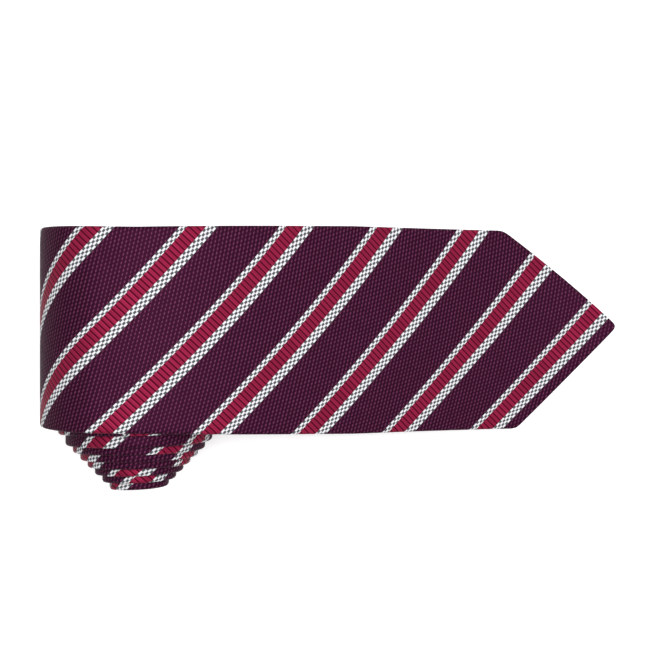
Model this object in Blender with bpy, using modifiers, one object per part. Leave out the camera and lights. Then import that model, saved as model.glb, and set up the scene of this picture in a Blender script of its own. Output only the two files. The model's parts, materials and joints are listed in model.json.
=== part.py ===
"""A necktie, rolled up from its tail, lying on a table with the end of its blade laid out over the roll.

The tie is drawn as it is sewn: a folded envelope of cloth with an interlining inside, a lining behind
each pointed end, one long slip stitch down the back, bar tacks, a keeper loop and a care label. Every
layer is a flat sheet, measured along the tie from the tip of the blade, that is laid on the rolled path.

The path is a side view in X and Z. From the tip the blade climbs to the top of the roll, goes round its
left side as a loose outer turn, passes under the roll and winds inwards as a coil. +Y is one edge of the
blade and -Y the other, on which side the turns of the coil stand out as a stepped cone.
"""

import math

import bpy
import numpy as np

# ---- Driving sizes, in metres ----
CLOTH = 0.0004  # one layer of the envelope
INTERLINING = 0.00125
INTERLINING_AT_TIPS = 0.0006  # pressed thin where a lining lies behind it
LINING = 0.0003
FIT = 0.00025  # between layers inside the envelope
BACK_FIT = 0.0003  # behind the interlining, where no lining is
CUT_GAP = 0.0003  # between two pieces that meet end to end

BLADE_WIDTH = 0.090
ROLL_TOP_WIDTH = 0.0853
NECK_WIDTH = 0.038
TAIL_WIDTH = 0.047
BLADE_POINT = 0.053  # length of the blade's pointed end, on its +Y side
NEAR_POINT = 0.0466  # and on its -Y side, which is the shorter
POINT_OFFSET = 0.0015  # how far the blade's tip is off its centre line
POINT_BOW = 0.0014  # how far the point's +Y edge bows out
TAIL_POINT = 0.025
TIP_ROUND = 0.0008  # half-width at which a point is rounded off

COIL_RADIUS = 0.0364
COIL_TURNS = 8
TURN_GAP = 0.00055  # between one turn and the next
LAYER_GAP = 0.0005  # under the blade where it lies on the coil
LOOP_SHIFT = 0.0116  # how far the middle of the loose outer turn stands to the left of the coil's
LOOP_GAP = 0.0026  # between the loose turn and the coil, at the left
TIP_REST = 0.0095  # length of the tip that lies flat on the table
SLOPE_TOP = -0.005  # where the blade starts to fall, from the coil's axis

FIRST_STEP = 0.0053  # how far the second turn stands out of the first
TURN_STEP = 0.00323  # and each later turn out of the one before
OUTER_STEP = 0.0012  # and the first turn out of the loose one

HEM = 0.009  # cloth turned in behind the edges of a point
SLIT = 0.0012  # between the two edges that meet down the back
OPENING = 0.100  # from the tip to where those edges meet
TAIL_OPENING = 0.050
LINING_OVERLAP = 0.018  # how far a lining runs on behind the closed back

TIP_BEND_AT = 0.066  # places along the blade where it bends, with one more past the end of the lining
LINING_TO_BEND = 0.010
LIFT_PAST_AXIS = 0.009  # and where it lifts off the roll, past the coil's axis

THREAD = 0.0004
TACK_LENGTH = 0.008
TACK_WIDTH = 0.0014
TACK_HEIGHT = 0.0006
KEEPER_TO_LABEL = 0.015
KEEPER_TO_AXIS = 0.0265  # the loop stays clear of the coil that the blade lies on
KEEPER_WIDTH = 0.012
KEEPER_SPAN = 0.052
KEEPER_RISE = 0.0034
KEEPER_FOOT = 0.003  # length sewn down at each end
KEEPER_RAMP = 0.009  # from there to the full rise
KEEPER_CLOTH = 0.0006
LABEL_TO_BEND = 0.009
LABEL_LENGTH = 0.024
LABEL_WIDTH = 0.016
LABEL_CLOTH = 0.0003

STATIONS_A_TURN = 24
STATION_STEP = 0.006
PATH_STEP = 0.0004
EDGE_STEPS = 4  # facets round each folded edge

# ---- What follows from them ----
LAYERS_INSIDE = max(FIT + INTERLINING + BACK_FIT, FIT + INTERLINING_AT_TIPS + FIT + LINING + FIT)
THICKNESS = CLOTH + LAYERS_INSIDE + CLOTH  # the whole tie, from its face to its back
EDGE = THICKNESS / 2
COIL_PITCH = THICKNESS + TURN_GAP
TOP = 2 * COIL_RADIUS - COIL_PITCH / 2 + LAYER_GAP + THICKNESS
LOOP_REACH = COIL_RADIUS + THICKNESS + LOOP_GAP - LOOP_SHIFT
BLADE_BEND_AT = OPENING + LINING_OVERLAP + LINING_TO_BEND
LABEL_AT = BLADE_BEND_AT + LABEL_TO_BEND + LABEL_LENGTH
KEEPER_AT = LABEL_AT + KEEPER_TO_LABEL + KEEPER_WIDTH / 2
BLADE_REACH = KEEPER_AT + KEEPER_WIDTH / 2 + KEEPER_TO_AXIS  # from the coil's axis to the tip
BLADE_LIFT_AT = BLADE_REACH + LIFT_PAST_AXIS


def smoothstep(t):
    return t * t * (3 - 2 * t)


# ---- The rolled path ----
def side_view():
    """The tie's face in side view, from the tip to the tail's end, and the coil's turn at each point."""
    slope_end = BLADE_REACH - TIP_REST
    points = [(x, THICKNESS) for x in np.arange(BLADE_REACH, slope_end, -PATH_STEP)]
    for t in np.linspace(0, 1, int((slope_end - SLOPE_TOP) / PATH_STEP)):
        points.append((slope_end + (SLOPE_TOP - slope_end) * t, THICKNESS + (TOP - THICKNESS) * smoothstep(t)))
    points += [(x, TOP) for x in np.arange(SLOPE_TOP - PATH_STEP, -LOOP_SHIFT, -PATH_STEP)]
    for angle in np.linspace(0, math.pi, int(math.pi * LOOP_REACH / PATH_STEP)):
        x = -LOOP_SHIFT - LOOP_REACH * math.sin(angle)
        points.append((x, TOP / 2 + TOP / 2 * math.cos(angle)))
    points += [(x, 0.0) for x in np.arange(-LOOP_SHIFT + PATH_STEP, 0, PATH_STEP)]
    turns = [-1.0] * len(points)
    for turn in np.linspace(0, COIL_TURNS, int(COIL_TURNS * 2 * math.pi * COIL_RADIUS / PATH_STEP)):
        radius, angle = COIL_RADIUS - COIL_PITCH * turn, 2 * math.pi * turn
        points.append((radius * math.sin(angle), COIL_RADIUS - radius * math.cos(angle)))
        turns.append(turn)
    return np.array(points), np.array(turns)


class RolledPath:
    """The side view, measured along the middle of the tie's thickness."""

    def __init__(self):
        face, self.turns = side_view()
        tangent = np.gradient(face, axis=0)
        tangent /= np.linalg.norm(tangent, axis=1)[:, None]
        self.face = face
        self.outward = np.column_stack([tangent[:, 1], -tangent[:, 0]])
        middle = face - self.outward * EDGE
        steps = np.linalg.norm(np.diff(middle, axis=0), axis=1)
        self.along = np.concatenate([[0], np.cumsum(steps)])
        self.length = float(self.along[-1])
        self.coil_start = self.at_turn(0)

    def at_turn(self, turn):
        """How far along the tie the coil's turn begins, turn 0 being where the coil starts."""
        coil = self.turns >= 0
        return float(np.interp(turn, self.turns[coil], self.along[coil]))

    def turn_at(self, along):
        coil = self.turns >= 0
        return float(np.interp(along, self.along[coil], self.turns[coil]))

    def point(self, along, depth):
        """X and Z of a point that far along the tie and that far behind its face."""
        face = [np.interp(along, self.along, self.face[:, k]) for k in (0, 1)]
        out = np.array([np.interp(along, self.along, self.outward[:, k]) for k in (0, 1)])
        out /= np.linalg.norm(out)
        return face[0] - out[0] * depth, face[1] - out[1] * depth


PATH = RolledPath()
NECK_AT = PATH.at_turn(2)


# ---- The flat shape ----
def point_edges(along):
    """Y of the two edges of the blade's pointed end, from its centre line."""
    far, near = min(1.0, along / BLADE_POINT), min(1.0, along / NEAR_POINT)
    start, reach = POINT_OFFSET + TIP_ROUND, BLADE_WIDTH / 2
    bow = POINT_BOW * 4 * far * (1 - far)
    return start + (reach - start) * far + bow, start - 2 * TIP_ROUND - (reach + start - 2 * TIP_ROUND) * near


def half_width(along):
    """Half the tie's width, that far from the blade's tip."""
    end = PATH.length - along
    if along < BLADE_POINT:
        far, near = point_edges(along)
        return (far - near) / 2
    if end < TAIL_POINT:
        return TIP_ROUND + (TAIL_WIDTH / 2 - TIP_ROUND) * end / TAIL_POINT
    stations = [
        (BLADE_BEND_AT, BLADE_WIDTH),
        (BLADE_LIFT_AT, ROLL_TOP_WIDTH),
        (PATH.coil_start, ROLL_TOP_WIDTH),
        (NECK_AT, NECK_WIDTH),
        (PATH.at_turn(3), NECK_WIDTH),
        (PATH.length - TAIL_POINT, TAIL_WIDTH),
    ]
    return 0.5 * float(np.interp(along, [s for s, _ in stations], [w for _, w in stations]))


def near_edge(along):
    """Y of the tie's -Y edge. It drifts outwards as the coil winds in, which makes the stepped cone."""
    edge = -ROLL_TOP_WIDTH / 2
    tops = [
        (PATH.coil_start, edge),
        (PATH.at_turn(0.5), edge - OUTER_STEP),
        (PATH.at_turn(1.5), edge - OUTER_STEP - FIRST_STEP),
    ]
    if along <= tops[-1][0]:
        return float(np.interp(along, [s for s, _ in tops], [y for _, y in tops]))
    return tops[-1][1] - TURN_STEP * (PATH.turn_at(along) - 1.5)


def centre(along):
    """Y of the tie's centre line."""
    if along < BLADE_POINT:
        return sum(point_edges(along)) / 2
    if along < BLADE_LIFT_AT:
        return 0.0
    settled = near_edge(along) + half_width(along)
    share = min(1.0, (along - BLADE_LIFT_AT) / (PATH.coil_start - BLADE_LIFT_AT))
    return settled * smoothstep(share)


def slit(along):
    """Half the gap between the two edges that meet down the back. It opens out behind each point."""
    shut = SLIT / 2
    end = PATH.length - along
    for place, point, opening in ((along, BLADE_POINT, OPENING), (end, TAIL_POINT, TAIL_OPENING)):
        if place >= opening:
            continue
        shoulder = half_width(point if place is along else PATH.length - point) - EDGE - HEM
        wide = half_width(along) - EDGE - HEM
        if place > point:
            wide = shut + (shoulder - shut) * (opening - place) / (opening - point)
        return max(shut, wide)
    return shut


def sampled(function):
    return [function(along) for along in np.linspace(0, PATH.length, 1500)]


LOW_X, HIGH_X = float(PATH.face[:, 0].min()), float(PATH.face[:, 0].max())
LOW_Y = min(sampled(lambda along: centre(along) - half_width(along)))
HIGH_Y = max(sampled(lambda along: centre(along) + half_width(along)))
ORIGIN = ((LOW_X + HIGH_X) / 2, (LOW_Y + HIGH_Y) / 2)  # the middle of what the tie covers


def place(along, across, depth):
    """A point of the flat tie, laid on the path: across from its centre line, depth behind its face."""
    x, z = PATH.point(along, depth)
    return x - ORIGIN[0], centre(along) + across - ORIGIN[1], z


# ---- Materials ----
def material(name, colour, roughness):
    made = bpy.data.materials.new(name)
    made.use_nodes = True
    shader = made.node_tree.nodes["Principled BSDF"]
    shader.inputs["Base Color"].default_value = (*colour, 1)
    shader.inputs["Roughness"].default_value = roughness
    shader.inputs["Metallic"].default_value = 0.0
    return made


def make_materials():
    return {
        "tie_cloth": material("tie_cloth", (0.075, 0.012, 0.035), 0.55),
        "interlining": material("interlining", (0.72, 0.68, 0.58), 0.9),
        "lining": material("lining", (0.10, 0.015, 0.045), 0.35),
        "thread": material("thread", (0.09, 0.015, 0.04), 0.6),
        "label": material("label", (0.80, 0.79, 0.76), 0.6),
    }


# ---- Making the pieces ----
def clear_scene():
    for obj in list(bpy.data.objects):
        bpy.data.objects.remove(obj)


def keep(obj):
    PARTS.objects.link(obj)
    for other in obj.users_collection:
        if other is not PARTS:
            other.objects.unlink(obj)


def sheet(name, stations, section, thickness, finish):
    """A layer of cloth: a grid whose rows lie at the stations along the tie and whose columns follow
    section(along), a list of (across, depth) in the middle of the layer, thickened to both sides."""
    columns = len(section(stations[0])) - 1
    rows = len(stations) - 1
    bpy.ops.mesh.primitive_grid_add(x_subdivisions=rows, y_subdivisions=columns, size=2)
    obj = bpy.context.object
    obj.name = obj.data.name = name
    for vertex in obj.data.vertices:
        row = round((vertex.co.x + 1) / 2 * rows)
        column = round((vertex.co.y + 1) / 2 * columns)
        along = stations[row]
        vertex.co = place(along, *section(along)[column])
    wall = obj.modifiers.new("thickness", "SOLIDIFY")
    wall.thickness = thickness
    wall.offset = 0
    wall.use_even_offset = True
    obj.data.materials.append(finish)
    keep(obj)


def envelope_section(along):
    """The folded cloth, from one back edge round the face to the other."""
    flat = half_width(along) - EDGE
    fold = EDGE - CLOTH / 2
    side = [(slit(along), EDGE + fold)]
    for step in range(EDGE_STEPS + 1):
        angle = math.pi / 2 - math.pi * step / EDGE_STEPS
        side.append((flat + fold * math.cos(angle), EDGE + fold * math.sin(angle)))
    return side + [(-across, depth) for across, depth in reversed(side)]


def slab_section(depth, inset):
    """A flat layer at that depth, that far inside the tie's edges."""

    def section(along):
        reach = half_width(along) - inset
        return [(reach, depth), (-reach, depth)]

    return section


def stations_between(start, end):
    """Places along the tie from start to end: evenly spaced on the blade and by angle on the coil, so
    that the facets of neighbouring turns lie parallel."""
    inner = list(np.arange(0, PATH.coil_start, STATION_STEP)) + [NEAR_POINT, BLADE_POINT, PATH.coil_start]
    inner += [PATH.at_turn(k / STATIONS_A_TURN) for k in range(1, COIL_TURNS * STATIONS_A_TURN)]
    inner.append(PATH.length - TAIL_POINT)
    spare = STATION_STEP / 10
    kept = sorted(s for s in inner if start + spare < s < end - spare)
    return [start] + [s for k, s in enumerate(kept) if k == 0 or s - kept[k - 1] > spare] + [end]


def thread_along(name, start, end, finish):
    """The slip stitch, which runs in the slit down the back."""
    depth = THICKNESS - THREAD / 2
    data = bpy.data.curves.new(name, "CURVE")
    data.dimensions = "3D"
    data.bevel_depth = THREAD / 2
    data.bevel_resolution = 0
    data.use_fill_caps = True
    spline = data.splines.new("POLY")
    stations = stations_between(start, end)
    spline.points.add(len(stations) - 1)
    for point, along in zip(spline.points, stations):
        point.co = (*place(along, 0.0, depth), 1)
    data.materials.append(finish)
    keep(bpy.data.objects.new(name, data))


def bar(name, along, across, depth, size, finish):
    """A small block of thread on the tie's back: size is (along, across, high)."""
    bpy.ops.mesh.primitive_cube_add(size=1)
    obj = bpy.context.object
    obj.name = obj.data.name = name
    for vertex in obj.data.vertices:
        a, b, c = (vertex.co[k] * size[k] for k in range(3))
        vertex.co = place(along - a, across + b, depth + size[2] / 2 - c)
    obj.data.materials.append(finish)
    keep(obj)


def keeper_arch():
    """The loop's rise over the tie's back, from one sewn end to the other, seen along the tie."""
    foot = THICKNESS + CUT_GAP + KEEPER_CLOTH / 2
    side = [(-KEEPER_SPAN / 2, foot)]
    for t in np.linspace(0, 1, 5):
        side.append((KEEPER_FOOT + KEEPER_RAMP * t - KEEPER_SPAN / 2, foot + KEEPER_RISE * smoothstep(t)))
    return side + [(-across, depth) for across, depth in reversed(side)]


def make_keeper(mats):
    half = KEEPER_WIDTH / 2
    stations = [KEEPER_AT - half, KEEPER_AT, KEEPER_AT + half]
    sheet("keeper_loop", stations, lambda along: keeper_arch(), KEEPER_CLOTH, mats["tie_cloth"])
    over = THICKNESS + 2 * CUT_GAP + KEEPER_CLOTH
    for side, name in ((1, "keeper_tack_far"), (-1, "keeper_tack_near")):
        size = (KEEPER_WIDTH * 0.8, TACK_WIDTH, TACK_HEIGHT)
        bar(name, KEEPER_AT, side * (KEEPER_SPAN - KEEPER_FOOT) / 2, over, size, mats["thread"])


def make_label(mats):
    """The care label hangs by its edge nearest the neck and lies along the back towards the tip."""
    depth = THICKNESS + CUT_GAP + LABEL_CLOTH / 2
    stations = list(np.linspace(LABEL_AT - LABEL_LENGTH, LABEL_AT, 5))
    half = LABEL_WIDTH / 2
    sheet("care_label", stations, lambda along: [(-half, depth), (half, depth)], LABEL_CLOTH, mats["label"])


def make_stretch(label, start, end, mats, lined=False):
    """The envelope and the interlining of one stretch of the tie."""
    a, b = start + CUT_GAP / 2, end - CUT_GAP / 2
    panel = "blade" if end <= NECK_AT + CUT_GAP else "tail"
    if start > NECK_AT - CUT_GAP and end < PATH.at_turn(3) + CUT_GAP:
        panel = "neck"
    sheet(f"{panel}_shell_{label}", stations_between(a, b), envelope_section, CLOTH, mats["tie_cloth"])
    inset = EDGE + FIT
    a = max(a, inset)
    b = min(b, PATH.length - inset)
    thick = INTERLINING_AT_TIPS if lined else INTERLINING
    section = slab_section(CLOTH + FIT + thick / 2, inset)
    sheet(f"interlining_{label}", stations_between(a, b), section, thick, mats["interlining"])


def make_linings(mats):
    depth = CLOTH + FIT + INTERLINING_AT_TIPS + FIT + LINING / 2
    inset = EDGE + FIT
    section = slab_section(depth, inset)
    half = CUT_GAP / 2
    ends = (
        ("blade_lining_point", inset, TIP_BEND_AT - half),
        ("blade_lining_throat", TIP_BEND_AT + half, OPENING + LINING_OVERLAP),
        ("tail_lining", PATH.at_turn(COIL_TURNS - 1) + half, PATH.length - inset),
    )
    for name, start, end in ends:
        sheet(name, stations_between(start, end), section, LINING, mats["lining"])


def make_stitching(mats):
    """The slip stitch in the stretches that move apart, and the bar tacks at its two ends."""
    half = CUT_GAP / 2
    tack_size = (TACK_WIDTH, TACK_LENGTH, TACK_HEIGHT)
    depth = THICKNESS + CUT_GAP
    bar("blade_bar_tack", OPENING, 0.0, depth, tack_size, mats["thread"])
    bar("tail_bar_tack", PATH.length - TAIL_OPENING, 0.0, depth, tack_size, mats["thread"])
    stretches = [
        ("middle", OPENING, BLADE_BEND_AT),
        ("upper", BLADE_BEND_AT, BLADE_LIFT_AT),
        ("outer_turn", BLADE_LIFT_AT, PATH.at_turn(1)),
    ]
    stretches += [(f"turn_{k + 1}", PATH.at_turn(k), PATH.at_turn(k + 1)) for k in range(1, COIL_TURNS - 1)]
    last = PATH.length - TAIL_OPENING
    stretches.append((f"turn_{COIL_TURNS}", PATH.at_turn(COIL_TURNS - 1), last))
    for label, start, end in stretches:
        thread_along(f"slip_stitch_{label}", start + half, end - half, mats["thread"])


def build():
    mats = make_materials()
    make_stretch("point", 0.0 - CUT_GAP / 2, TIP_BEND_AT, mats, lined=True)
    make_stretch("middle", TIP_BEND_AT, BLADE_BEND_AT, mats, lined=True)
    make_stretch("upper", BLADE_BEND_AT, BLADE_LIFT_AT, mats)
    make_stretch("loose_turn", BLADE_LIFT_AT, PATH.coil_start, mats)
    for k in range(COIL_TURNS):
        last = k == COIL_TURNS - 1
        end = PATH.length + CUT_GAP / 2 if last else PATH.at_turn(k + 1)
        make_stretch(f"turn_{k + 1}", PATH.at_turn(k), end, mats, lined=last)
    make_linings(mats)
    make_stitching(mats)
    make_keeper(mats)
    make_label(mats)


clear_scene()
PARTS = bpy.data.collections.new("necktie")
bpy.context.scene.collection.children.link(PARTS)
build()
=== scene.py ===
"""The looks of a rolled necktie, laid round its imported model. Everything is in metres.

The tie is drawn flat first. `along` runs from the tip of the blade to the end of the tail, on the middle
of the tie's thickness, `across` runs from its centre line towards +Y, and `depth` from its face to its
back. Each layer of cloth is a grid in those three, which is then laid on the rolled path.
"""

import json
import math

import bmesh
import bpy
import numpy as np
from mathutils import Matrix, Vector


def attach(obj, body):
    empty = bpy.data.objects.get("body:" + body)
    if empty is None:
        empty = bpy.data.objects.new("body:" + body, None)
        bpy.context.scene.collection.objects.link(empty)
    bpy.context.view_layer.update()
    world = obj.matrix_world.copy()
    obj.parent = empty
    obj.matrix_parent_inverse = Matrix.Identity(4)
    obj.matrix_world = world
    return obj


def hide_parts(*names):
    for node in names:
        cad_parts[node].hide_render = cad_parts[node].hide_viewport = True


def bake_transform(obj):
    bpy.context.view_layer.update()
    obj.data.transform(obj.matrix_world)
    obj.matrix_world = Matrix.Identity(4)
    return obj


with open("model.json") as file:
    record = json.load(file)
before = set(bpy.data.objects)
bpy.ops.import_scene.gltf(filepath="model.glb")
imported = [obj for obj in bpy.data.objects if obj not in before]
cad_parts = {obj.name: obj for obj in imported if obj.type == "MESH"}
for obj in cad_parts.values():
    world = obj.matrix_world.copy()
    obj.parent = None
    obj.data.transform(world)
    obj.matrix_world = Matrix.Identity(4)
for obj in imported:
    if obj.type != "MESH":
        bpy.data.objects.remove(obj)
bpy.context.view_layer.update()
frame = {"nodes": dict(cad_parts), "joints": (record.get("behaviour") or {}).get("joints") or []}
JOINTS = {joint["name"]: joint for joint in frame["joints"]}

# ---- The tie's sizes, as its solids have them ----
THICKNESS = 0.0026
CLOTH = 0.0004
INTERLINING = 0.00125
INTERLINING_AT_TIPS = 0.0006
LINING = 0.0003
FIT = 0.00025
EDGE = THICKNESS / 2

BLADE_WIDTH = 0.090
ROLL_TOP_WIDTH = 0.0853
NECK_WIDTH = 0.038
TAIL_WIDTH = 0.047
BLADE_POINT = 0.053
NEAR_POINT = 0.0466
POINT_OFFSET = 0.0015
TAIL_POINT = 0.025

COIL_RADIUS = 0.0364
COIL_PITCH = 0.00315
COIL_TURNS = 8
LAYER_GAP = 0.0005
LOOP_SHIFT = 0.0116
LOOP_REACH = 0.030
BLADE_REACH = 0.2145
TIP_REST = 0.0095
SLOPE_TOP = -0.005
TOP = 2 * COIL_RADIUS - COIL_PITCH / 2 + LAYER_GAP + THICKNESS

FIRST_STEP = 0.0053
TURN_STEP = 0.00323
OUTER_STEP = 0.0012

HEM = 0.009
OPENING = 0.100
TAIL_OPENING = 0.050
LINING_OVERLAP = 0.018
TIP_BEND_AT = 0.066
BLADE_BEND_AT = 0.128
BLADE_LIFT_AT = 0.2235
KEEPER_AT = 0.182
KEEPER_WIDTH = 0.012
KEEPER_SPAN = 0.052
KEEPER_RISE = 0.0034
KEEPER_FOOT = 0.003
KEEPER_RAMP = 0.009
KEEPER_CLOTH = 0.0006
LABEL_AT = 0.161
LABEL_LENGTH = 0.024
LABEL_WIDTH = 0.016
LABEL_CLOTH = 0.0003
ON_THE_BACK = THICKNESS + 0.0003  # what is sewn on the back lies at this depth

# ---- How finely the looks are made, and what only they have ----
PATH_STEP = 0.0004
ROW_STEP = 0.0018
FACE_COLUMNS = 34
FLAP_COLUMNS = 14
FOLD_COLUMNS = 8
CANVAS_COLUMNS = 8
LINING_COLUMNS = 32
KEEPER_GRID = (61, 9)
LABEL_GRID = (37, 25)
NOSE_LENGTH = 0.004  # the length of each tip whose rows lie closer together
NOSE_ROWS = 14
THINNEST = 0.16  # the share of its thickness that the tie keeps at its very tips
TIP_ROUND = 0.0012  # half of a point's width where its sides end, before its tip is rounded off
FAR_BOW = 0.0019  # how far the blade's point bows out along its +Y side
NEAR_BOW = 0.0009  # and along its -Y side
LOOP_SWAY = 0.0011  # how far the loose turn leans to +Y at its left
SOFT_CORNER = 0.0016  # how much the corners beside a point are rounded off
UNDERLAP = 0.0015  # how far the lower back edge runs past the centre line, under the other
OVERLAP = 0.0010  # and the upper one, over it
UNDERLAP_DIP = 0.00029
OVERLAP_LIFT = 0.00013
LAP_SLOPE = 0.006  # over which each edge dips or rises
CLOSING = 0.004  # the edges begin to lap where half the opening is narrower than this
LEAST_HALF = 0.0004  # an inner layer's half-width is never less than this
LINING_INSET = 0.002  # how much narrower the lining is than the canvas, on each side
LINING_FULLNESS = 0.0003  # how far the lining stands out between the hems
STITCH = 0.009  # from one slip stitch to the next
HEM_STITCH = 0.0055  # from one hem stitch to the next
THREAD = 0.00013  # radius
TACK_THREAD = 0.0002
TACK_PITCH = 1.8 * TACK_THREAD  # from one stitch of a bar tack to the next
TACK_RISE = 0.0003  # how high its stitches stand at their middle
TACK_SIZE = (0.0014, 0.008)
KEEPER_EASE = 1.05  # the strap's own length for each metre that it spans
KEEPER_CUT = 0.21  # where along the cloth the strap was cut, which sets its stripes
LABEL_BORDER = 0.0012
LABEL_CURL = 0.0011
LABEL_WAVE = 0.0004
LABEL_CLEARANCE = 0.0001
LABEL_STITCH = 0.0022
LABEL_SEAM = 0.0008  # from the label's sewn edge to its stitches


def smoothstep(t):
    t = np.clip(t, 0, 1)
    return t * t * (3 - 2 * t)


# ---- The rolled path ----
class RolledPath:
    """The tie's face in side view, from the tip to the tail's end, measured along its mid-thickness."""

    def __init__(self):
        slope_end = BLADE_REACH - TIP_REST
        rest = np.arange(BLADE_REACH, slope_end, -PATH_STEP)
        t = np.linspace(0, 1, int((slope_end - SLOPE_TOP) / PATH_STEP))
        flat = np.arange(SLOPE_TOP - PATH_STEP, -LOOP_SHIFT, -PATH_STEP)
        angle = np.linspace(0, math.pi, int(math.pi * LOOP_REACH / PATH_STEP))
        under = np.arange(-LOOP_SHIFT + PATH_STEP, 0, PATH_STEP)
        turn = np.linspace(0, COIL_TURNS, int(COIL_TURNS * 2 * math.pi * COIL_RADIUS / PATH_STEP))
        radius = COIL_RADIUS - COIL_PITCH * turn
        legs = [
            (rest, np.full_like(rest, THICKNESS)),
            (slope_end + (SLOPE_TOP - slope_end) * t, THICKNESS + (TOP - THICKNESS) * smoothstep(t)),
            (flat, np.full_like(flat, TOP)),
            (-LOOP_SHIFT - LOOP_REACH * np.sin(angle), TOP / 2 + TOP / 2 * np.cos(angle)),
            (under, np.zeros_like(under)),
            (radius * np.sin(2 * math.pi * turn), COIL_RADIUS - radius * np.cos(2 * math.pi * turn)),
        ]
        self.face = np.column_stack([np.concatenate([leg[k] for leg in legs]) for k in (0, 1)])
        tangent = np.gradient(self.face, axis=0)
        tangent /= np.linalg.norm(tangent, axis=1)[:, None]
        self.outward = np.column_stack([tangent[:, 1], -tangent[:, 0]])
        steps = np.linalg.norm(np.diff(self.face - self.outward * EDGE, axis=0), axis=1)
        self.along = np.concatenate([[0], np.cumsum(steps)])
        self.length = float(self.along[-1])
        self.turn = turn
        self.coil = self.along[-len(turn) :]

    def at_turn(self, turn):
        return float(np.interp(turn, self.turn, self.coil))

    def turn_at(self, along):
        return np.interp(along, self.coil, self.turn)

    def point(self, along, depth):
        """X and Z of points that far along the tie and that far behind its face."""
        x, z, out_x, out_z = (
            np.interp(along, self.along, values)
            for values in (self.face[:, 0], self.face[:, 1], self.outward[:, 0], self.outward[:, 1])
        )
        size = np.hypot(out_x, out_z)
        return x - out_x / size * depth, z - out_z / size * depth


PATH = RolledPath()
COIL_START = PATH.at_turn(0)
NECK_AT = PATH.at_turn(2)
HINGE = JOINTS["blade_lift"]["pos_m"]  # lies on the face at BLADE_LIFT_AT, on the centre line
SHIFT_X = HINGE[0] - float(PATH.point(BLADE_LIFT_AT, 0)[0])
SHIFT_Y = HINGE[1]


# ---- The flat shape ----
def soft_least(first, second):
    """The smaller of the two, with the corner between them rounded off."""
    share = np.clip(0.5 + (second - first) / (2 * SOFT_CORNER), 0, 1)
    return second + (first - second) * share - SOFT_CORNER * share * (1 - share)


def rounded_end(distance, half, slope):
    """The half-width of a pointed end, that far from its tip, once the tip is rounded off."""
    sine = slope / math.hypot(1, slope)
    radius = TIP_ROUND / slope / (1 / sine - 1)
    end = np.sqrt(np.clip(radius**2 - (radius - distance) ** 2, 0, None))
    return np.where(distance < radius * (1 - sine), end, half)


def blade_edges(along):
    """Y of the blade's two edges, from its centre line, in its pointed end."""
    half = BLADE_WIDTH / 2
    edges = []
    for point, offset, bow in ((BLADE_POINT, POINT_OFFSET, FAR_BOW), (NEAR_POINT, -POINT_OFFSET, NEAR_BOW)):
        share = along / point
        side = offset + TIP_ROUND + (half - offset - TIP_ROUND) * share
        edges.append(soft_least(side + bow * 4 * share * np.clip(1 - share, 0, None), half))
    return edges[0], -edges[1]


def half_width(along):
    """Half the tie's width, that far from the blade's tip."""
    along = np.asarray(along, float)
    stations = [
        (BLADE_BEND_AT, BLADE_WIDTH),
        (BLADE_LIFT_AT, ROLL_TOP_WIDTH),
        (COIL_START, ROLL_TOP_WIDTH),
        (NECK_AT, NECK_WIDTH),
        (PATH.at_turn(3), NECK_WIDTH),
        (PATH.length - TAIL_POINT, TAIL_WIDTH),
    ]
    body = np.interp(along, [s for s, _ in stations], [w / 2 for _, w in stations])
    far, near = blade_edges(along)
    blade_slope = BLADE_WIDTH / (BLADE_POINT + NEAR_POINT)
    blade = np.where(along < BLADE_BEND_AT, rounded_end(along, (far - near) / 2, blade_slope), body)
    from_end = PATH.length - along
    tail_slope = (TAIL_WIDTH / 2 - TIP_ROUND) / TAIL_POINT
    tail = rounded_end(from_end, soft_least(TIP_ROUND + tail_slope * from_end, body), tail_slope)
    return np.where(from_end < 2 * TAIL_POINT, tail, blade)


def near_edge(along):
    """Y of the tie's -Y edge, which drifts outwards as the coil winds in."""
    edge = -ROLL_TOP_WIDTH / 2
    tops = [(COIL_START, edge), (PATH.at_turn(0.5), edge - OUTER_STEP)]
    tops.append((PATH.at_turn(1.5), edge - OUTER_STEP - FIRST_STEP))
    outer = np.interp(along, [s for s, _ in tops], [y for _, y in tops])
    inner = tops[-1][1] - TURN_STEP * (PATH.turn_at(along) - 1.5)
    return np.where(along <= tops[-1][0], outer, inner)


def centre(along):
    """Y of the tie's centre line."""
    along = np.asarray(along, float)
    share = (along - BLADE_LIFT_AT) / (COIL_START - BLADE_LIFT_AT)
    settled = near_edge(along) + half_width(along)
    sway = LOOP_SWAY * np.sin(math.pi * np.clip(share, 0, 1)) ** 2
    rolled = settled * smoothstep(share) + sway
    return np.where(along < BLADE_LIFT_AT, sum(blade_edges(along)) / 2, rolled)


def gap(along):
    """Half the opening between the back edges: nothing where the back is closed, and a V behind a point."""
    along = np.asarray(along, float)
    half = np.zeros_like(along)
    for from_end, point, shoulder_at, opening in (
        (along, BLADE_POINT, BLADE_POINT, OPENING),
        (PATH.length - along, TAIL_POINT, PATH.length - TAIL_POINT, TAIL_OPENING),
    ):
        shoulder = half_width(shoulder_at) - EDGE - HEM
        open_part = shoulder * (opening - from_end) / (opening - point)
        hem_part = half_width(along) - EDGE - HEM
        half = np.maximum(half, np.minimum(open_part, np.where(from_end < point, hem_part, shoulder)))
    return half


def ripple(along, across):
    """The slight unevenness of the blade where it lies free: how far its cloth stands up."""
    free = smoothstep(along / 0.02) * smoothstep((BLADE_LIFT_AT - along) / 0.06)
    waves = np.sin(along / 0.0136 + across / 0.021) * 0.4 + np.sin(along / 0.0078 - across / 0.013 + 1) * 0.2
    waves = waves + np.cos(across / 0.0125 + along / 0.05) * 0.4
    return 0.00028 * free * waves


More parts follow.
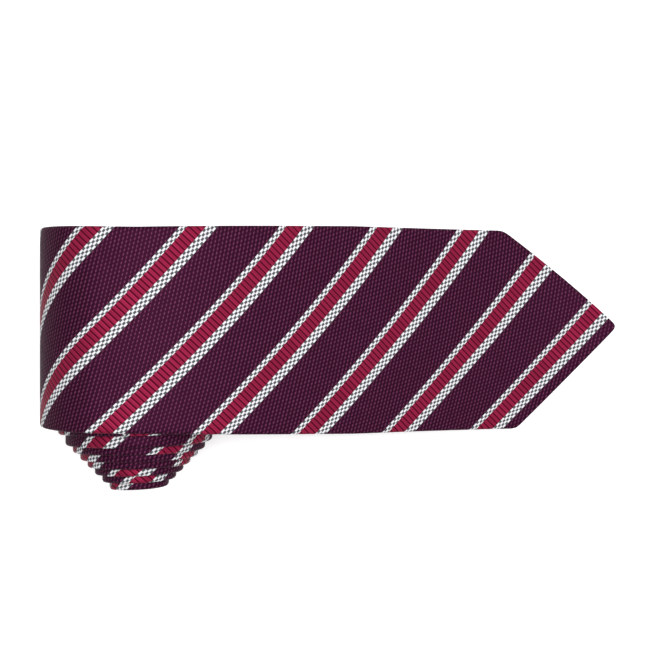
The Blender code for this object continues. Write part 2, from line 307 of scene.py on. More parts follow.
def lay(along, across, depth):
    """Points of the flat tie, laid on the rolled path."""
    x, z = PATH.point(along, depth - ripple(along, across))
    y = centre(along) + across
    return np.stack([x + SHIFT_X, y + SHIFT_Y, z], axis=-1)


# ---- Stretches of the tie between its bends ----
class Stretch:
    """A length of the tie that rides on one body, or that spans the bend between two, given by where that
    bend begins and ends.
    """

    def __init__(self, name, start, end, bodies, bend=None):
        self.name, self.start, self.end, self.bodies, self.bend = name, start, end, bodies, bend

    def carry(self, obj):
        """Attaches obj to this stretch's body when it rides on one. When it spans a bend, only bakes obj's
        transform into its mesh.
        """
        if self.bend is None:
            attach(obj, self.bodies[0])
        else:
            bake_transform(obj)


def blade_bend(at, reach):
    """Where a bend across the blade begins and ends."""
    return tuple(tuple(map(float, lay(at + side * reach, 0.0, EDGE))) for side in (-1, 1))


def coil_bend(turn):
    """The lower half of the coil, from its left to its right, in which one turn runs over into the next."""
    reach = COIL_RADIUS - COIL_PITCH * turn - THICKNESS - 0.0008
    return (SHIFT_X - reach, 0.0, 0.0), (SHIFT_X + reach, 0.0, 0.0)


def body_of_turn(turn):
    return "roll" if turn == 1 else f"turn_{turn}"


def make_stretches():
    stretches, start = [], 0
    for name, end, bodies, bend_at, reach in (
        ("point", 0.097, ("blade_point", "blade_middle"), TIP_BEND_AT, 0.012),
        ("middle", 0.176, ("blade_middle", "blade_upper"), BLADE_BEND_AT, 0.010),
        ("upper", 0.2402, ("blade_upper", "roll"), BLADE_LIFT_AT, 0.016),
    ):
        stretches.append(Stretch(name, start, end, bodies, blade_bend(bend_at, reach)))
        start = end
    stretches.append(Stretch("outer_turn", start, PATH.at_turn(0.75), ("roll",)))
    for turn in range(1, COIL_TURNS):
        bodies = (body_of_turn(turn), body_of_turn(turn + 1))
        low, high = PATH.at_turn(turn - 0.25), PATH.at_turn(turn + 0.25)
        stretches.append(Stretch(f"under_turn_{turn + 1}", low, high, bodies, coil_bend(turn)))
        last = turn == COIL_TURNS - 1
        end = PATH.length if last else PATH.at_turn(turn + 0.75)
        stretches.append(Stretch(f"over_turn_{turn + 1}", high, end, (bodies[1],)))
    return stretches


def solid_stretches():
    """The names that the solids' stretches end in, with where each begins and ends."""
    found = [
        ("point", 0, TIP_BEND_AT),
        ("middle", TIP_BEND_AT, BLADE_BEND_AT),
        ("upper", BLADE_BEND_AT, BLADE_LIFT_AT),
        ("loose_turn", BLADE_LIFT_AT, COIL_START),
    ]
    return found + [(f"turn_{k + 1}", PATH.at_turn(k), PATH.at_turn(k + 1)) for k in range(COIL_TURNS)]


def solids_within(stretch, layer):
    """The solids of that layer that a piece of this stretch stands for."""
    names = [
        label
        for label, start, end in solid_stretches()
        if start < stretch.end - 1e-6 and end > stretch.start + 1e-6
    ]
    if layer == "slip_stitch":
        names = {"outer_turn" if name in ("loose_turn", "turn_1") else name for name in names}
    return [node for node in frame["nodes"] if layer in node and any(node.endswith(f"_{n}") for n in names)]


STRETCHES = make_stretches()


# ---- Materials ----
class Recipe:
    """Adds nodes to a tree. Each call gives the new node's output, to use in the next one."""

    def __init__(self, tree):
        self.tree = tree

    def node(self, kind, **settings):
        made = self.tree.nodes.new(kind)
        for name, value in settings.items():
            setattr(made, name, value)
        return made

    def feed(self, socket, value):
        if isinstance(value, bpy.types.NodeSocket):
            self.tree.links.new(value, socket)
        else:
            socket.default_value = value

    def math(self, operation, *values):
        made = self.node("ShaderNodeMath", operation=operation)
        for socket, value in zip(made.inputs, values):
            self.feed(socket, value)
        return made.outputs[0]

    def ramp(self, value, low, high):
        """0 below low, 1 above high and smooth between them; the other way round if high is below low."""
        made = self.node("ShaderNodeMapRange", interpolation_type="SMOOTHSTEP")
        up = low < high
        for name, given in (
            ("Value", value),
            ("From Min", min(low, high)),
            ("From Max", max(low, high)),
            ("To Min", 0.0 if up else 1.0),
            ("To Max", 1.0 if up else 0.0),
        ):
            self.feed(made.inputs[name], given)
        return made.outputs[0]

    def between(self, value, low, high):
        above = self.math("GREATER_THAN", value, low)
        return self.math("MULTIPLY", above, self.math("LESS_THAN", value, high))

    def mix(self, share, first, second):
        made = self.node("ShaderNodeMix", data_type="RGBA")
        self.feed(made.inputs["Factor"], share)
        for name, colour in (("A", first), ("B", second)):
            socket = next(s for s in made.inputs if s.name == name and s.type == "RGBA")
            self.feed(socket, colour if isinstance(colour, bpy.types.NodeSocket) else (*colour, 1))
        return next(s for s in made.outputs if s.type == "RGBA")

    def blend_values(self, share, first, second):
        made = self.node("ShaderNodeMix", data_type="FLOAT")
        self.feed(made.inputs["Factor"], share)
        self.feed(made.inputs[2], first)
        self.feed(made.inputs[3], second)
        return made.outputs[0]

    def noise(self, place, scale, detail=2.0):
        made = self.node("ShaderNodeTexNoise")
        self.feed(made.inputs["Vector"], place)
        made.inputs["Scale"].default_value = scale
        made.inputs["Detail"].default_value = detail
        return made.outputs["Fac"]


def new_group(name, inputs, outputs):
    """An empty node group. Its inputs are given as (name, kind, value) and its outputs as (name, kind)."""
    tree = bpy.data.node_groups.new(name, "ShaderNodeTree")
    for label, kind, value in inputs:
        socket = tree.interface.new_socket(label, in_out="INPUT", socket_type=kind)
        if value is not None:
            socket.default_value = value
    for label, kind in outputs:
        tree.interface.new_socket(label, in_out="OUTPUT", socket_type=kind)
    return tree, tree.nodes.new("NodeGroupInput").outputs, tree.nodes.new("NodeGroupOutput").inputs


# The pattern is woven in columns, which lie side by side across the stripes, and rows down them. Each
# repeat is a stripe of ribs with a band of checks on either side of it, and a ground of raised dots.
COLUMNS = 35
WIDE_CHECKS, RIBBED, NARROW_CHECKS = 4, 6, 3
RIBS_A_ROW = 1.5
COLUMN_WIDTH, ROW_LENGTH = 0.00092, 0.00316
DOT_WIDTH, DOT_LENGTH = 0.00042, 0.00086  # half of each
DOT_LEAN = math.radians(26)

PLUM_DOT = (0.125, 0.028, 0.075)
PLUM_GROUND = (0.026, 0.0044, 0.015)
CRIMSON = (0.270, 0.0155, 0.053)
# CRIMSON_DARK is the painted shade in the grooves between the ribs, and the dark end of each rib's random
# tone.
CRIMSON_DARK = (0.050, 0.0018, 0.009)
SILVER = (0.68, 0.67, 0.70)
SILVER_GAP = (0.070, 0.078, 0.082)


def pattern_group():
    """The jacquard pattern, read from the thread that each place on the cloth is on. The ribs of its stripes
    also get a painted highlight on their crests and painted shade in the grooves between them.
    """
    tree, given, result = new_group(
        "striped_jacquard",
        [("Threads", "NodeSocketVector", None), ("Place", "NodeSocketVector", None)],
        [
            ("Color", "NodeSocketColor"),
            ("Height", "NodeSocketFloat"),
            ("Roughness", "NodeSocketFloat"),
            ("Gloss", "NodeSocketFloat"),
        ],
    )
    r = Recipe(tree)
    split = r.node("ShaderNodeSeparateXYZ")
    r.feed(split.inputs[0], given["Threads"])
    column, down = split.outputs["X"], split.outputs["Y"]
    whole = r.math("FLOOR", column)
    side = r.math("SUBTRACT", r.math("FRACT", column), 0.5)
    odd = r.math("MULTIPLY", r.math("FLOORED_MODULO", whole, 2.0), 0.5)
    ahead = r.math("SUBTRACT", r.math("FRACT", r.math("ADD", down, odd)), 0.5)
    aside, away = r.math("ABSOLUTE", side), r.math("ABSOLUTE", ahead)
    band = r.math("FLOORED_MODULO", whole, float(COLUMNS))
    place = r.math("FLOORED_MODULO", column, float(COLUMNS))
    in_stripe = r.between(place, WIDE_CHECKS, WIDE_CHECKS + RIBBED + 0.5)
    checks_end = WIDE_CHECKS + RIBBED + NARROW_CHECKS - 0.5
    in_checks = r.math("SUBTRACT", r.math("LESS_THAN", band, checks_end), in_stripe)

    squares = []  # of how far a place lies from its dot's middle, along the leaning dot and across it
    for size, turned in ((DOT_LENGTH, DOT_LEAN), (DOT_WIDTH, DOT_LEAN + math.pi / 2)):
        lengthwise = r.math("MULTIPLY", ahead, math.cos(turned) * ROW_LENGTH / size)
        sideways = r.math("MULTIPLY", side, math.sin(turned) * COLUMN_WIDTH / size)
        squares.append(r.math("POWER", r.math("ADD", lengthwise, sideways), 2.0))
    dot = r.ramp(r.math("SQRT", r.math("ADD", *squares)), 1.30, 0.30)
    check = r.math("MULTIPLY", r.ramp(away, 0.33, 0.22), r.ramp(aside, 0.60, 0.38))

    # The ribs: each rib's crest is painted lighter and the groove between ribs darker, towards CRIMSON_DARK,
    # as painted highlight and painted shade. On top of that come a random tone for each rib, fine streaks,
    # and a faint line down its middle.
    rib = r.math("MULTIPLY", down, RIBS_A_ROW)
    rib_place = r.math("ABSOLUTE", r.math("SUBTRACT", r.math("FRACT", rib), 0.5))
    bar = r.ramp(rib_place, 0.46, 0.26)
    uneven = r.node("ShaderNodeTexWhiteNoise", noise_dimensions="1D")
    r.feed(uneven.inputs["W"], r.math("FLOOR", rib))
    strand = r.node("ShaderNodeTexNoise", noise_dimensions="1D")
    r.feed(strand.inputs["W"], down)
    strand.inputs["Scale"].default_value = 9.0
    lit = r.math("MULTIPLY", bar, r.math("ADD", r.math("MULTIPLY", uneven.outputs["Value"], 0.25), 0.70))
    lit = r.math("MULTIPLY", lit, r.math("ADD", r.math("MULTIPLY", strand.outputs["Fac"], 0.6), 0.70))
    split_thread = r.math("ADD", r.math("MULTIPLY", r.ramp(rib_place, 0.02, 0.14), 0.30), 0.74)
    lit = r.math("MULTIPLY", lit, split_thread)

    wear = r.noise(given["Place"], 260.0, 3.0)
    ground = r.mix(r.math("MULTIPLY", dot, r.math("ADD", wear, 0.45)), PLUM_GROUND, PLUM_DOT)
    stripe = r.mix(lit, CRIMSON_DARK, CRIMSON)
    checks = r.mix(check, SILVER_GAP, SILVER)
    r.feed(result["Color"], r.mix(in_checks, r.mix(in_stripe, ground, stripe), checks))

    rounded = r.math("SUBTRACT", 1.0, r.math("MULTIPLY", r.math("POWER", rib_place, 2.0), 3.2))
    height = r.blend_values(in_stripe, r.math("MULTIPLY", dot, 0.9), rounded)
    height = r.blend_values(in_checks, height, r.math("ADD", r.math("MULTIPLY", check, 0.7), 0.15))
    r.feed(result["Height"], height)
    roughness = r.blend_values(in_stripe, 0.52, 0.50)
    r.feed(result["Roughness"], r.blend_values(in_checks, roughness, 0.55))
    r.feed(result["Gloss"], r.blend_values(in_checks, r.blend_values(in_stripe, 0.36, 0.18), 0.0))
    return tree


def plain_weave_group():
    """A fine plain weave: threads that pass over and under each other, Pitch metres apart."""
    tree, given, result = new_group(
        "plain_weave",
        [("Flat Place", "NodeSocketVector", None), ("Pitch", "NodeSocketFloat", 0.0004)],
        [("Height", "NodeSocketFloat"), ("Shade", "NodeSocketFloat")],
    )
    r = Recipe(tree)
    split = r.node("ShaderNodeSeparateXYZ")
    r.feed(split.inputs[0], given["Flat Place"])
    sines = []
    for axis in ("X", "Y"):
        turns = r.math("DIVIDE", split.outputs[axis], given["Pitch"])
        sines.append(r.math("SINE", r.math("MULTIPLY", turns, math.pi)))
    waves = r.math("MULTIPLY", *sines)
    height = r.math("ADD", r.math("MULTIPLY", waves, 0.5), 0.5)
    r.feed(result["Height"], height)
    r.feed(result["Shade"], r.math("ADD", r.math("MULTIPLY", r.noise(given["Flat Place"], 90.0), 0.6), 0.7))
    return tree


def shade_group():
    """Multiplies a colour by a shade."""
    tree, given, result = new_group(
        "shaded",
        [("Color", "NodeSocketColor", None), ("Shade", "NodeSocketFloat", 1.0)],
        [("Color", "NodeSocketColor")],
    )
    r = Recipe(tree)
    scale = r.node("ShaderNodeVectorMath", operation="SCALE")
    r.feed(scale.inputs[0], given["Color"])
    r.feed(scale.inputs["Scale"], given["Shade"])
    r.feed(result["Color"], scale.outputs[0])
    return tree


def new_material(name, roughness, sheen, specular, edge_tint=(1, 1, 1)):
    """A material, its recipe and its shader. edge_tint goes to the shader's Specular Tint."""
    made = bpy.data.materials.new(name)
    made.use_nodes = True
    shader = made.node_tree.nodes["Principled BSDF"]
    shader.inputs["Roughness"].default_value = roughness
    shader.inputs["Sheen Weight"].default_value = sheen
    shader.inputs["Sheen Roughness"].default_value = 0.4
    shader.inputs["Specular IOR Level"].default_value = specular
    shader.inputs["Specular Tint"].default_value = (*edge_tint, 1)
    return made, Recipe(made.node_tree), shader


def flat_place(r):
    return r.node("ShaderNodeUVMap", uv_map="flat").outputs[0]


def use_group(r, tree, **inputs):
    made = r.node("ShaderNodeGroup", node_tree=tree)
    for name, value in inputs.items():
        r.feed(made.inputs[name.replace("_", " ").title()], value)
    return made.outputs


def bump(r, shader, height, distance):
    made = r.node("ShaderNodeBump")
    r.feed(made.inputs["Height"], height)
    made.inputs["Distance"].default_value = distance
    made.inputs["Strength"].default_value = 1.0
    r.feed(shader.inputs["Normal"], made.outputs[0])


def make_materials():
    jacquard, weave, shaded = pattern_group(), plain_weave_group(), shade_group()
    made = {}

    silk, r, shader = new_material("tie_cloth", 0.5, 0.0, 0.05, (0.10, 0.03, 0.06))
    place = r.node("ShaderNodeTexCoord").outputs["Object"]
    out = use_group(r, jacquard, threads=r.node("ShaderNodeUVMap", uv_map="threads").outputs[0], place=place)
    r.feed(shader.inputs["Base Color"], out["Color"])
    r.feed(shader.inputs["Roughness"], out["Roughness"])
    r.feed(shader.inputs["Metallic"], out["Gloss"])
    bump(r, shader, out["Height"], 0.00022)
    made["tie_cloth"] = silk

    for name, colour, roughness, sheen, pitch, depth in (
        ("lining", (0.085, 0.010, 0.040), 0.38, 0.0, 0.00030, 0.00006),
        ("interlining", (0.68, 0.63, 0.53), 0.9, 0.5, 0.0011, 0.0003),
        ("label", (0.76, 0.75, 0.71), 0.5, 0.1, 0.00034, 0.00008),
        ("label_border", (0.10, 0.010, 0.035), 0.5, 0.1, 0.00034, 0.00008),
    ):
        finish, r, shader = new_material(name, roughness, sheen, 0.25)
        out = use_group(r, weave, flat_place=flat_place(r), pitch=pitch)
        # The colour is painted darker where the weave's threads dip under each other, as painted shade. This
        # sits on the random tone that the weave gives as its Shade.
        dark = r.math("MULTIPLY", out["Shade"], r.math("ADD", r.math("MULTIPLY", out["Height"], 0.3), 0.75))
        tinted = use_group(r, shaded, color=(*colour, 1), shade=dark)
        r.feed(shader.inputs["Base Color"], tinted["Color"])
        bump(r, shader, out["Height"], depth)
        made[name] = finish

    thread, r, shader = new_material("thread", 0.45, 0.2, 0.5)
    place = r.node("ShaderNodeTexCoord").outputs["Object"]
    twist = r.node("ShaderNodeTexWave", bands_direction="DIAGONAL")
    r.feed(twist.inputs["Vector"], place)
    twist.inputs["Scale"].default_value = 900.0
    shade = r.math("ADD", r.math("MULTIPLY", twist.outputs["Fac"], 0.5), 0.6)
    tinted = use_group(r, shaded, color=(0.13, 0.018, 0.055, 1), shade=shade)
    r.feed(shader.inputs["Base Color"], tinted["Color"])
    bump(r, shader, twist.outputs["Fac"], 0.00005)
    made["thread"] = thread
    return made


MATERIALS = make_materials()


# ---- Cloth ----
def rows_between(start, end, step=ROW_STEP):
    """Rows from start to end, set closer in each round nose, with a row at each corner of the shape."""
    places = list(np.linspace(start, end, max(2, math.ceil((end - start) / step) + 1)))
    for tip, side in ((0.0, 1), (PATH.length, -1)):
        if start <= tip <= end:
            places += [tip + side * NOSE_LENGTH * share**2 for share in np.linspace(0, 1, NOSE_ROWS)]
    for corner in (BLADE_POINT, PATH.length - TAIL_POINT, OPENING, PATH.length - TAIL_OPENING):
        if start < corner < end:
            places.append(corner)
    places = np.unique(np.round(places, 6))
    return places[np.concatenate([[True], np.diff(places) > 2e-5])]


def thinning(along):
    """How much of its thickness the tie keeps: each point has a rounded edge, as its sides have."""
    from_tip = np.clip(np.minimum(along, PATH.length - along) / EDGE, 0, 1)
    return THINNEST + (1 - THINNEST) * np.sqrt(1 - (1 - from_tip) ** 2)


def new_piece(name, mesh, finish):
    obj = bpy.data.objects.new(name, mesh)
    bpy.context.scene.collection.objects.link(obj)
    mesh.materials.append(MATERIALS[finish])
    mesh.polygons.foreach_set("use_smooth", [True] * len(mesh.polygons))
    return obj


STRIPE_SLANT = 0.936  # how far a stripe runs along the tie for each step across it
REPEAT = 0.0443  # from one stripe to the next, measured along the tie
FIRST_STRIPE = 0.0185  # where the first one's middle would cross the centre line on unpulled cloth
# Where the coil's stripes have moved on, in repeats: (along, moved). These are fitted values.
STRIPE_DRIFT = (
    (0.270, 0.0),
    (0.4966, -0.086),
    (0.6299, -0.237),
    (0.6772, -0.355),
    (0.8295, -0.866),
    (0.8802, -1.006),
    (0.9809, -1.258),
    (1.0348, -1.457),
    (1.1229, -1.419),
    (1.1685, -1.568),
    (1.2749, -1.803),
    (1.3711, -1.946),
    (1.4613, -2.121),
)


def threads(flat):
    """The column and row of the woven pattern at each place on the cut cloth. The cloth is pulled a
    little out of square, as cloth cut on the bias is, so its stripes bow and lean unevenly. The numbers
    in the pull are fitted values, in millimetres."""
    along = flat[..., 0]
    cut = flat[..., 1] + np.where(along < BLADE_BEND_AT, sum(blade_edges(along)) / 2, 0)
    down, side = np.clip((along - 0.140) / 0.100, -1.4, 1.4), np.clip(cut / 0.040, -1.1, 1.1)
    pull = -2.012 * side**2 + 1.764 * down * side + 1.051 * down**2
    pull = pull + 1.18 * down * side**2 + 0.896 * down**2 * side
    repeats = (along + STRIPE_SLANT * cut + pull / 1000 - FIRST_STRIPE) / REPEAT
    repeats = repeats + np.interp(along, *zip(*STRIPE_DRIFT)) + (WIDE_CHECKS + RIBBED / 2) / COLUMNS
    row = (cut - STRIPE_SLANT * along) / math.hypot(1, STRIPE_SLANT) / ROW_LENGTH
    return np.stack([repeats * COLUMNS, row], axis=-1)


def cloth(name, place, flat, wall, finish):
    """A layer of cloth on a grid. place holds its points by row and column, flat where each of them was
    on the cut cloth, and wall is its thickness."""
    rows, columns = place.shape[:2]
    bm = bmesh.new()
    bmesh.ops.create_grid(bm, x_segments=rows - 1, y_segments=columns - 1, size=1.0)
    mesh = bpy.data.meshes.new(name)
    bm.to_mesh(mesh)
    bm.free()
    square = np.empty(len(mesh.vertices) * 3, np.float32)
    mesh.vertices.foreach_get("co", square)
    square = square.reshape(-1, 3)
    row = np.round((square[:, 0] + 1) / 2 * (rows - 1)).astype(int)
    column = np.round((square[:, 1] + 1) / 2 * (columns - 1)).astype(int)
    mesh.vertices.foreach_set("co", place[row, column].astype(np.float32).ravel())
    corner = np.empty(len(mesh.loops), np.int32)
    mesh.loops.foreach_get("vertex_index", corner)
    for label, values in (("flat", flat), ("threads", threads(flat))):
        layer = mesh.uv_layers.new(name=label)
        layer.data.foreach_set("uv", values[row, column][corner].astype(np.float32).ravel())
    mesh.update()
    obj = new_piece(name, mesh, finish)
    thick = obj.modifiers.new("wall", "SOLIDIFY")
    thick.thickness = wall
    thick.offset = 0
    return settle(obj)


def settle(obj):
    """Applies a piece's modifiers and keeps its cut edges crisp, so that neighbours shade as one cloth."""
    graph = bpy.context.evaluated_depsgraph_get()
    evaluated = obj.evaluated_get(graph)
    finished = bpy.data.meshes.new_from_object(evaluated, preserve_all_data_layers=True, depsgraph=graph)
    obj.modifiers.clear()
    finished.name = obj.name
    obj.data = finished
    finished.set_sharp_from_angle(angle=math.radians(55))
    return obj


def envelope(along):
    """Across and depth of the folded envelope: from the +Y back edge, round the face, to the -Y one."""
    along = along[:, None]
    wide = half_width(along)
    tight = np.minimum(1.0, wide / EDGE)  # the folds are tighter where a point is narrower than they are
    flat = wide - EDGE * tight
    fold = EDGE - CLOTH / 2
    # The edges lap where the back is closed and the tie is wide enough for the lap.
    closed = smoothstep(1 - gap(along) / CLOSING) * smoothstep(flat / LAP_SLOPE - 0.5)
    back = np.linspace(0, 1, FLAP_COLUMNS + 1)[None, :]
    face = np.linspace(1, -1, FACE_COLUMNS + 1)[None, :]
    angle = np.linspace(math.pi / 2, -math.pi / 2, FOLD_COLUMNS + 1)[None, 1:-1]

    under_edge = np.minimum(gap(along) - UNDERLAP * closed, flat)
    over_edge = np.minimum(gap(along) - OVERLAP * closed, flat)
    under = under_edge + (flat - under_edge) * back
    over = over_edge + (flat - over_edge) * back[:, ::-1]
    bend = flat + fold * np.cos(angle) * tight
    across = np.hstack([under, bend, flat * face, -bend[:, ::-1], -over])

    near_lap = closed * smoothstep(1 - under / LAP_SLOPE)
    far_lap = closed * smoothstep(1 - over / LAP_SLOPE)
    bend_depth = fold * np.sin(angle) + 0 * along
    depth = np.hstack(
        [
            fold - UNDERLAP_DIP * near_lap,
            bend_depth,
            np.full_like(flat * face, -fold),
            bend_depth[:, ::-1],
            fold + OVERLAP_LIFT * far_lap,
        ]
    )
    return across, EDGE + depth * thinning(along)


def unrolled(across, depth):
    """Where each point of a section was on the cut cloth, measured from the middle of the face."""
    steps = np.hypot(np.diff(across, axis=1), np.diff(depth, axis=1))
    run = np.hstack([np.zeros((len(across), 1)), np.cumsum(steps, axis=1)])
    middle = across.shape[1] // 2
    return run[:, middle : middle + 1] - run


def make_shell(stretch):
    along = rows_between(stretch.start, stretch.end)
    across, depth = envelope(along)
    rows = np.broadcast_to(along[:, None], across.shape)
    flat = np.stack([rows, unrolled(across, depth)], axis=-1)
    obj = cloth(f"shell_{stretch.name}", lay(rows, across, depth), flat, CLOTH, "tie_cloth")
    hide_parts(*solids_within(stretch, "shell"))
    stretch.carry(obj)
    return obj, flat


def make_interlining(stretch):
    inset = EDGE + FIT
    start, end = max(stretch.start, inset), min(stretch.end, PATH.length - inset)
    along = rows_between(start, end, 2 * ROW_STEP)
    lined = (along < OPENING + LINING_OVERLAP) | (along > PATH.length - TAIL_OPENING - LINING_OVERLAP)
    thick = INTERLINING_AT_TIPS if lined.mean() > 0.5 else INTERLINING
    columns = np.linspace(1, -1, CANVAS_COLUMNS + 1)[None, :]
    rows = np.broadcast_to(along[:, None], (len(along), CANVAS_COLUMNS + 1))
    across = np.clip(half_width(rows) - inset, LEAST_HALF, None) * columns
    depth = np.full_like(across, CLOTH + FIT + thick / 2)
    flat = np.stack([rows, across], axis=-1)
    obj = cloth(f"canvas_{stretch.name}", lay(rows, across, depth), flat, thick, "interlining")
    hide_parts(*solids_within(stretch, "interlining"))
    stretch.carry(obj)
    return obj, flat


def make_envelopes():
    for stretch in STRETCHES:
        canvas, canvas_flat = make_interlining(stretch)
        shell, shell_flat = make_shell(stretch)


def make_lining(name, start, end, stretch, node_names):
    """The satin behind a point, tucked under the hems."""
    inset = EDGE + FIT
    along = rows_between(start, end)
    columns = np.linspace(1, -1, LINING_COLUMNS + 1)[None, :]
    rows = np.broadcast_to(along[:, None], (len(along), LINING_COLUMNS + 1))
    across = np.clip(half_width(rows) - inset - LINING_INSET, LEAST_HALF, None) * columns
    fullness = smoothstep((gap(rows) - np.abs(across)) / 0.006) * LINING_FULLNESS
    pucker = np.sin(rows / 0.0031 + across / 0.004) * np.sin(across / 0.0057 - rows / 0.009) * 0.00008
    depth = CLOTH + FIT + INTERLINING_AT_TIPS + FIT + LINING / 2 + fullness + pucker
    flat = np.stack([rows, across], axis=-1)
    obj = cloth(name, lay(rows, across, depth), flat, LINING, "lining")
    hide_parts(*node_names)
    stretch.carry(obj)


# ---- Thread ----
def strand(name, runs, radius=THREAD):
    """Threads through points of the flat tie, as one mesh."""
    data = bpy.data.curves.new(name, "CURVE")
    data.dimensions = "3D"
    data.bevel_depth = radius
    data.bevel_resolution = 1
    data.use_fill_caps = True
    for run in runs:
        run = np.asarray(run, float)
        spline = data.splines.new("POLY")
        spline.points.add(len(run) - 1)
        placed = np.column_stack([lay(*run.T), np.ones(len(run))])
        spline.points.foreach_set("co", placed.ravel())
    guide = bpy.data.objects.new(name + "_guide", data)
    bpy.context.scene.collection.objects.link(guide)
    evaluated = guide.evaluated_get(bpy.context.evaluated_depsgraph_get())
    mesh = bpy.data.meshes.new_from_object(evaluated)
    bpy.data.objects.remove(guide)
    mesh.name = name
    mesh.materials.clear()
    obj = new_piece(name, mesh, "thread")
    return obj


def slip_stitch(start, end):
    """The thread down the back: it runs between the layers and shows in a slanting stitch over the edge."""
    hidden = THICKNESS - CLOTH - UNDERLAP_DIP - 0.0001
    over = THICKNESS + OVERLAP_LIFT + THREAD * 0.6
    beyond = THICKNESS - UNDERLAP_DIP + THREAD
    stitch = (  # how far along, how far past the upper edge, and depth
        (0, -0.0016, hidden),
        (0.0005, -0.0012, over),
        (0.0012, -0.0003, over),
        (0.0019, 0.0005, beyond),
        (0.0023, 0.0007, hidden),
    )
    points = [(start, 0.0, hidden), (end, 0.0, hidden)]
    for at in np.arange(math.ceil(start / STITCH) * STITCH, end - STITCH / 2, STITCH):
        points += [(at + ahead, OVERLAP + past, depth) for ahead, past, depth in stitch]
    between = np.arange(start, end, 0.002)
    points += [(at, 0.0, hidden) for at in between if 0.003 < at % STITCH < STITCH - 0.001]
    return sorted(points)


def make_slip_stitches():
    first, last = OPENING, PATH.length - TAIL_OPENING
    for stretch in STRETCHES:
        start, end = max(stretch.start, first), min(stretch.end, last)
        if end - start < STITCH:
            continue
        obj = strand(f"stitching_{stretch.name}", [slip_stitch(start, end)])
        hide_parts(*solids_within(stretch, "slip_stitch"))
        stretch.carry(obj)


def bar_tack(name, along, across, depth, size, rider, node):
    """A bar of satin stitches, side by side. size is (along, across), and they lie the short way."""
    lengthwise = size[0] < size[1]
    span, width = min(size), max(size)
    end, top = span / 2, span / 2 - TACK_RISE
    steps = [(-end, 0.0), (-top, TACK_RISE), (top, TACK_RISE), (end, 0.0)]
    runs = []
    for beside in np.arange(TACK_THREAD - width / 2, width / 2, TACK_PITCH):
        shifts = [(s, beside, rise) if lengthwise else (beside, s, rise) for s, rise in steps]
        runs.append([(along + a, across + b, depth + rise) for a, b, rise in shifts])
    obj = strand(name, runs, TACK_THREAD)
    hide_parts(node)
    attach(obj, rider)


def hem_stitches(name, start, end, stretch):
    """Small stitches that hold the hems down on a lining."""
    under, top = THICKNESS - CLOTH - 0.0002, THICKNESS + 0.00005
    runs = []
    for at in np.arange(start, end, HEM_STITCH):
        edge = float(gap(at))
        steps = [(0, -0.0010, under), (0.0003, -0.0004, top - CLOTH / 2), (0.0007, 0.0005, top)]
        steps.append((0.0010, 0.0009, under))
        for side in (-1, 1):
            runs.append([(at + a, side * (edge + b), depth) for a, b, depth in steps])
    stretch.carry(strand(name, runs))


# ---- Keeper loop and label ----
def make_keeper():
    share = np.linspace(-1, 1, KEEPER_GRID[0])
    across = share * KEEPER_SPAN / 2
    from_end = KEEPER_SPAN / 2 - np.abs(across)
    rise = KEEPER_RISE * smoothstep((from_end - KEEPER_FOOT) / KEEPER_RAMP)
    width = np.linspace(-0.5, 0.5, KEEPER_GRID[1]) * KEEPER_WIDTH
    rows = np.broadcast_to(across[:, None], KEEPER_GRID)
    along = KEEPER_AT + np.broadcast_to(width[None, :], rows.shape)
    depth = ON_THE_BACK + KEEPER_CLOTH / 2 + rise[:, None] + 0 * rows
    flat = np.stack([rows * KEEPER_EASE + KEEPER_CUT, along - KEEPER_AT], axis=-1)
    obj = cloth("keeper_strap", lay(along, rows, depth), flat, KEEPER_CLOTH, "tie_cloth")
    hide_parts("keeper_loop")
    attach(obj, "blade_upper")
    size = (KEEPER_WIDTH, KEEPER_SPAN * KEEPER_EASE)
    for side, node in ((1, "keeper_tack_far"), (-1, "keeper_tack_near")):
        place = side * (KEEPER_SPAN - KEEPER_FOOT) / 2
        size = (KEEPER_WIDTH * 0.8, TACK_SIZE[0])
        bar_tack(f"tack_of_{node}", KEEPER_AT, place, ON_THE_BACK + KEEPER_CLOTH, size, "blade_upper", node)


def make_label():
    """A blank woven label, sewn by its upper edge, with a narrow border."""
    share = np.linspace(0, 1, LABEL_GRID[0])[:, None]
    along = LABEL_AT - LABEL_LENGTH * share + np.zeros(LABEL_GRID)
    across = np.linspace(-0.5, 0.5, LABEL_GRID[1])[None, :] * LABEL_WIDTH + np.zeros(LABEL_GRID)
    curl = LABEL_CURL * share**2 + LABEL_WAVE * share * np.cos(across / LABEL_WIDTH * 2 * math.pi)
    depth = ON_THE_BACK + LABEL_CLOTH / 2 + curl + LABEL_CLEARANCE
    flat = np.stack([along, across], axis=-1)
    obj = cloth("label_tape", lay(along, across, depth), flat, LABEL_CLOTH, "label")
    obj.data.materials.append(MATERIALS["label_border"])
    for face in obj.data.polygons:
        spot = [obj.data.uv_layers["flat"].data[k].uv for k in face.loop_indices]
        u = sum(p[0] for p in spot) / len(spot)
        v = sum(p[1] for p in spot) / len(spot)
        near_side = LABEL_WIDTH / 2 - abs(v) < LABEL_BORDER
        near_end = min(LABEL_AT - u, u - LABEL_AT + LABEL_LENGTH) < LABEL_BORDER
        face.material_index = 1 if near_side or near_end else 0
    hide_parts("care_label")
    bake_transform(obj)
    top = ON_THE_BACK + LABEL_CLOTH + 0.0002
    steps = [(0, top - 0.0003), (0.0003, top), (0.0012, top), (0.0015, top - 0.0003)]
    places = np.arange(0.001 - LABEL_WIDTH / 2, LABEL_WIDTH / 2 - 0.002, LABEL_STITCH)
    runs = [[(LABEL_AT - LABEL_SEAM, at + step, depth) for step, depth in steps] for at in places]
    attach(strand("label_stitches", runs), "blade_upper")


# ---- Stage ----
FLOOR_DROP = 0.0004  # how far the floor lies below the tie, so that the two don't flicker
PAPER = (0.9, 0.9, 0.9)
PAPER_GLOW = 0.35
SKY = 0.43
LAMP_SIZE = 0.6
LAMPS = (("overhead", (0.08, 0.12, 1.25), 15.5), ("side", (0.7, 0.5, 0.7), 1.0))


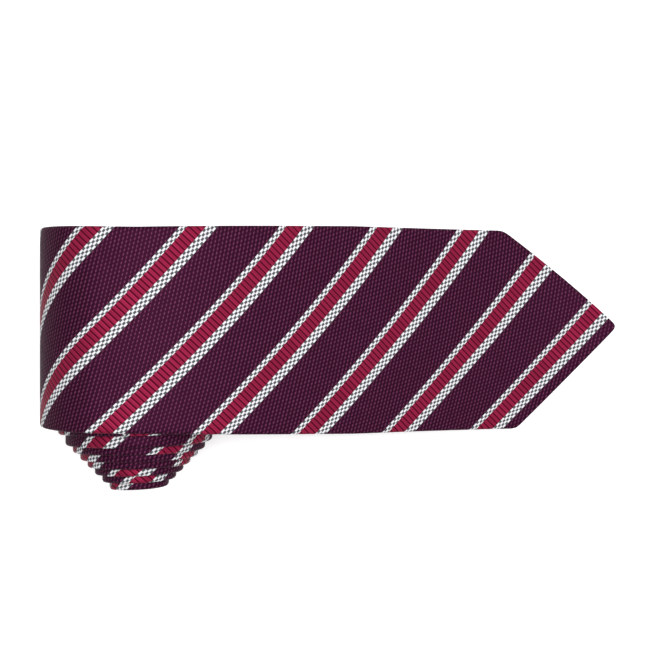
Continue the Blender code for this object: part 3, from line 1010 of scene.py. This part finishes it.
def make_stage():
    bpy.ops.mesh.primitive_plane_add(size=6, location=(0, 0, -FLOOR_DROP))
    floor = bpy.context.object
    floor.name = "floor"
    paper = bpy.data.materials.new("floor")
    paper.use_nodes = True
    shader = paper.node_tree.nodes["Principled BSDF"]
    shader.inputs["Base Color"].default_value = (*PAPER, 1)
    shader.inputs["Roughness"].default_value = 0.9
    shader.inputs["Emission Color"].default_value = (1, 1, 1, 1)
    shader.inputs["Emission Strength"].default_value = PAPER_GLOW
    floor.data.materials.append(paper)

    world = bpy.data.worlds.new("studio")
    world.use_nodes = True
    sky = world.node_tree.nodes["Background"]
    sky.inputs["Color"].default_value = (1, 1, 1, 1)
    sky.inputs["Strength"].default_value = SKY
    bpy.context.scene.world = world
    bpy.context.scene.view_settings.view_transform = "Standard"

    for name, place, power in LAMPS:
        data = bpy.data.lights.new(name, "AREA")
        data.size = LAMP_SIZE
        data.energy = power
        lamp = bpy.data.objects.new(name, data)
        lamp.location = place
        lamp.rotation_euler = Vector(place).to_track_quat("Z", "Y").to_euler()
        bpy.context.scene.collection.objects.link(lamp)


def make_camera():
    """Straight above the tie."""
    data = bpy.data.cameras.new("camera")
    data.sensor_width = 36.0
    data.lens = 83.1
    camera = bpy.data.objects.new("camera", data)
    camera.location = (-0.0048, 0.0147, 0.690)
    bpy.context.scene.collection.objects.link(camera)
    bpy.context.scene.camera = camera


make_camera()
make_stage()
make_envelopes()
TIP_END, TAIL_END = STRETCHES[0], STRETCHES[-1]
blade_solids, tail_solids = ["blade_lining_point", "blade_lining_throat"], ["tail_lining"]
make_lining("lining_of_blade", 0.0022, OPENING + LINING_OVERLAP, TIP_END, blade_solids)
make_lining("lining_of_tail", TAIL_END.start, PATH.length - 0.0022, TAIL_END, tail_solids)
make_slip_stitches()
bar_tack("tack_of_blade", OPENING, 0.0, ON_THE_BACK, TACK_SIZE, "blade_middle", "blade_bar_tack")
bar_tack("tack_of_tail", PATH.length - TAIL_OPENING, 0.0, ON_THE_BACK, TACK_SIZE, "turn_8", "tail_bar_tack")
hem_stitches("hem_stitches_of_blade", 0.016, OPENING - 0.006, TIP_END)
hem_stitches("hem_stitches_of_tail", PATH.length - TAIL_OPENING + 0.006, PATH.length - 0.015, TAIL_END)
make_keeper()
make_label()
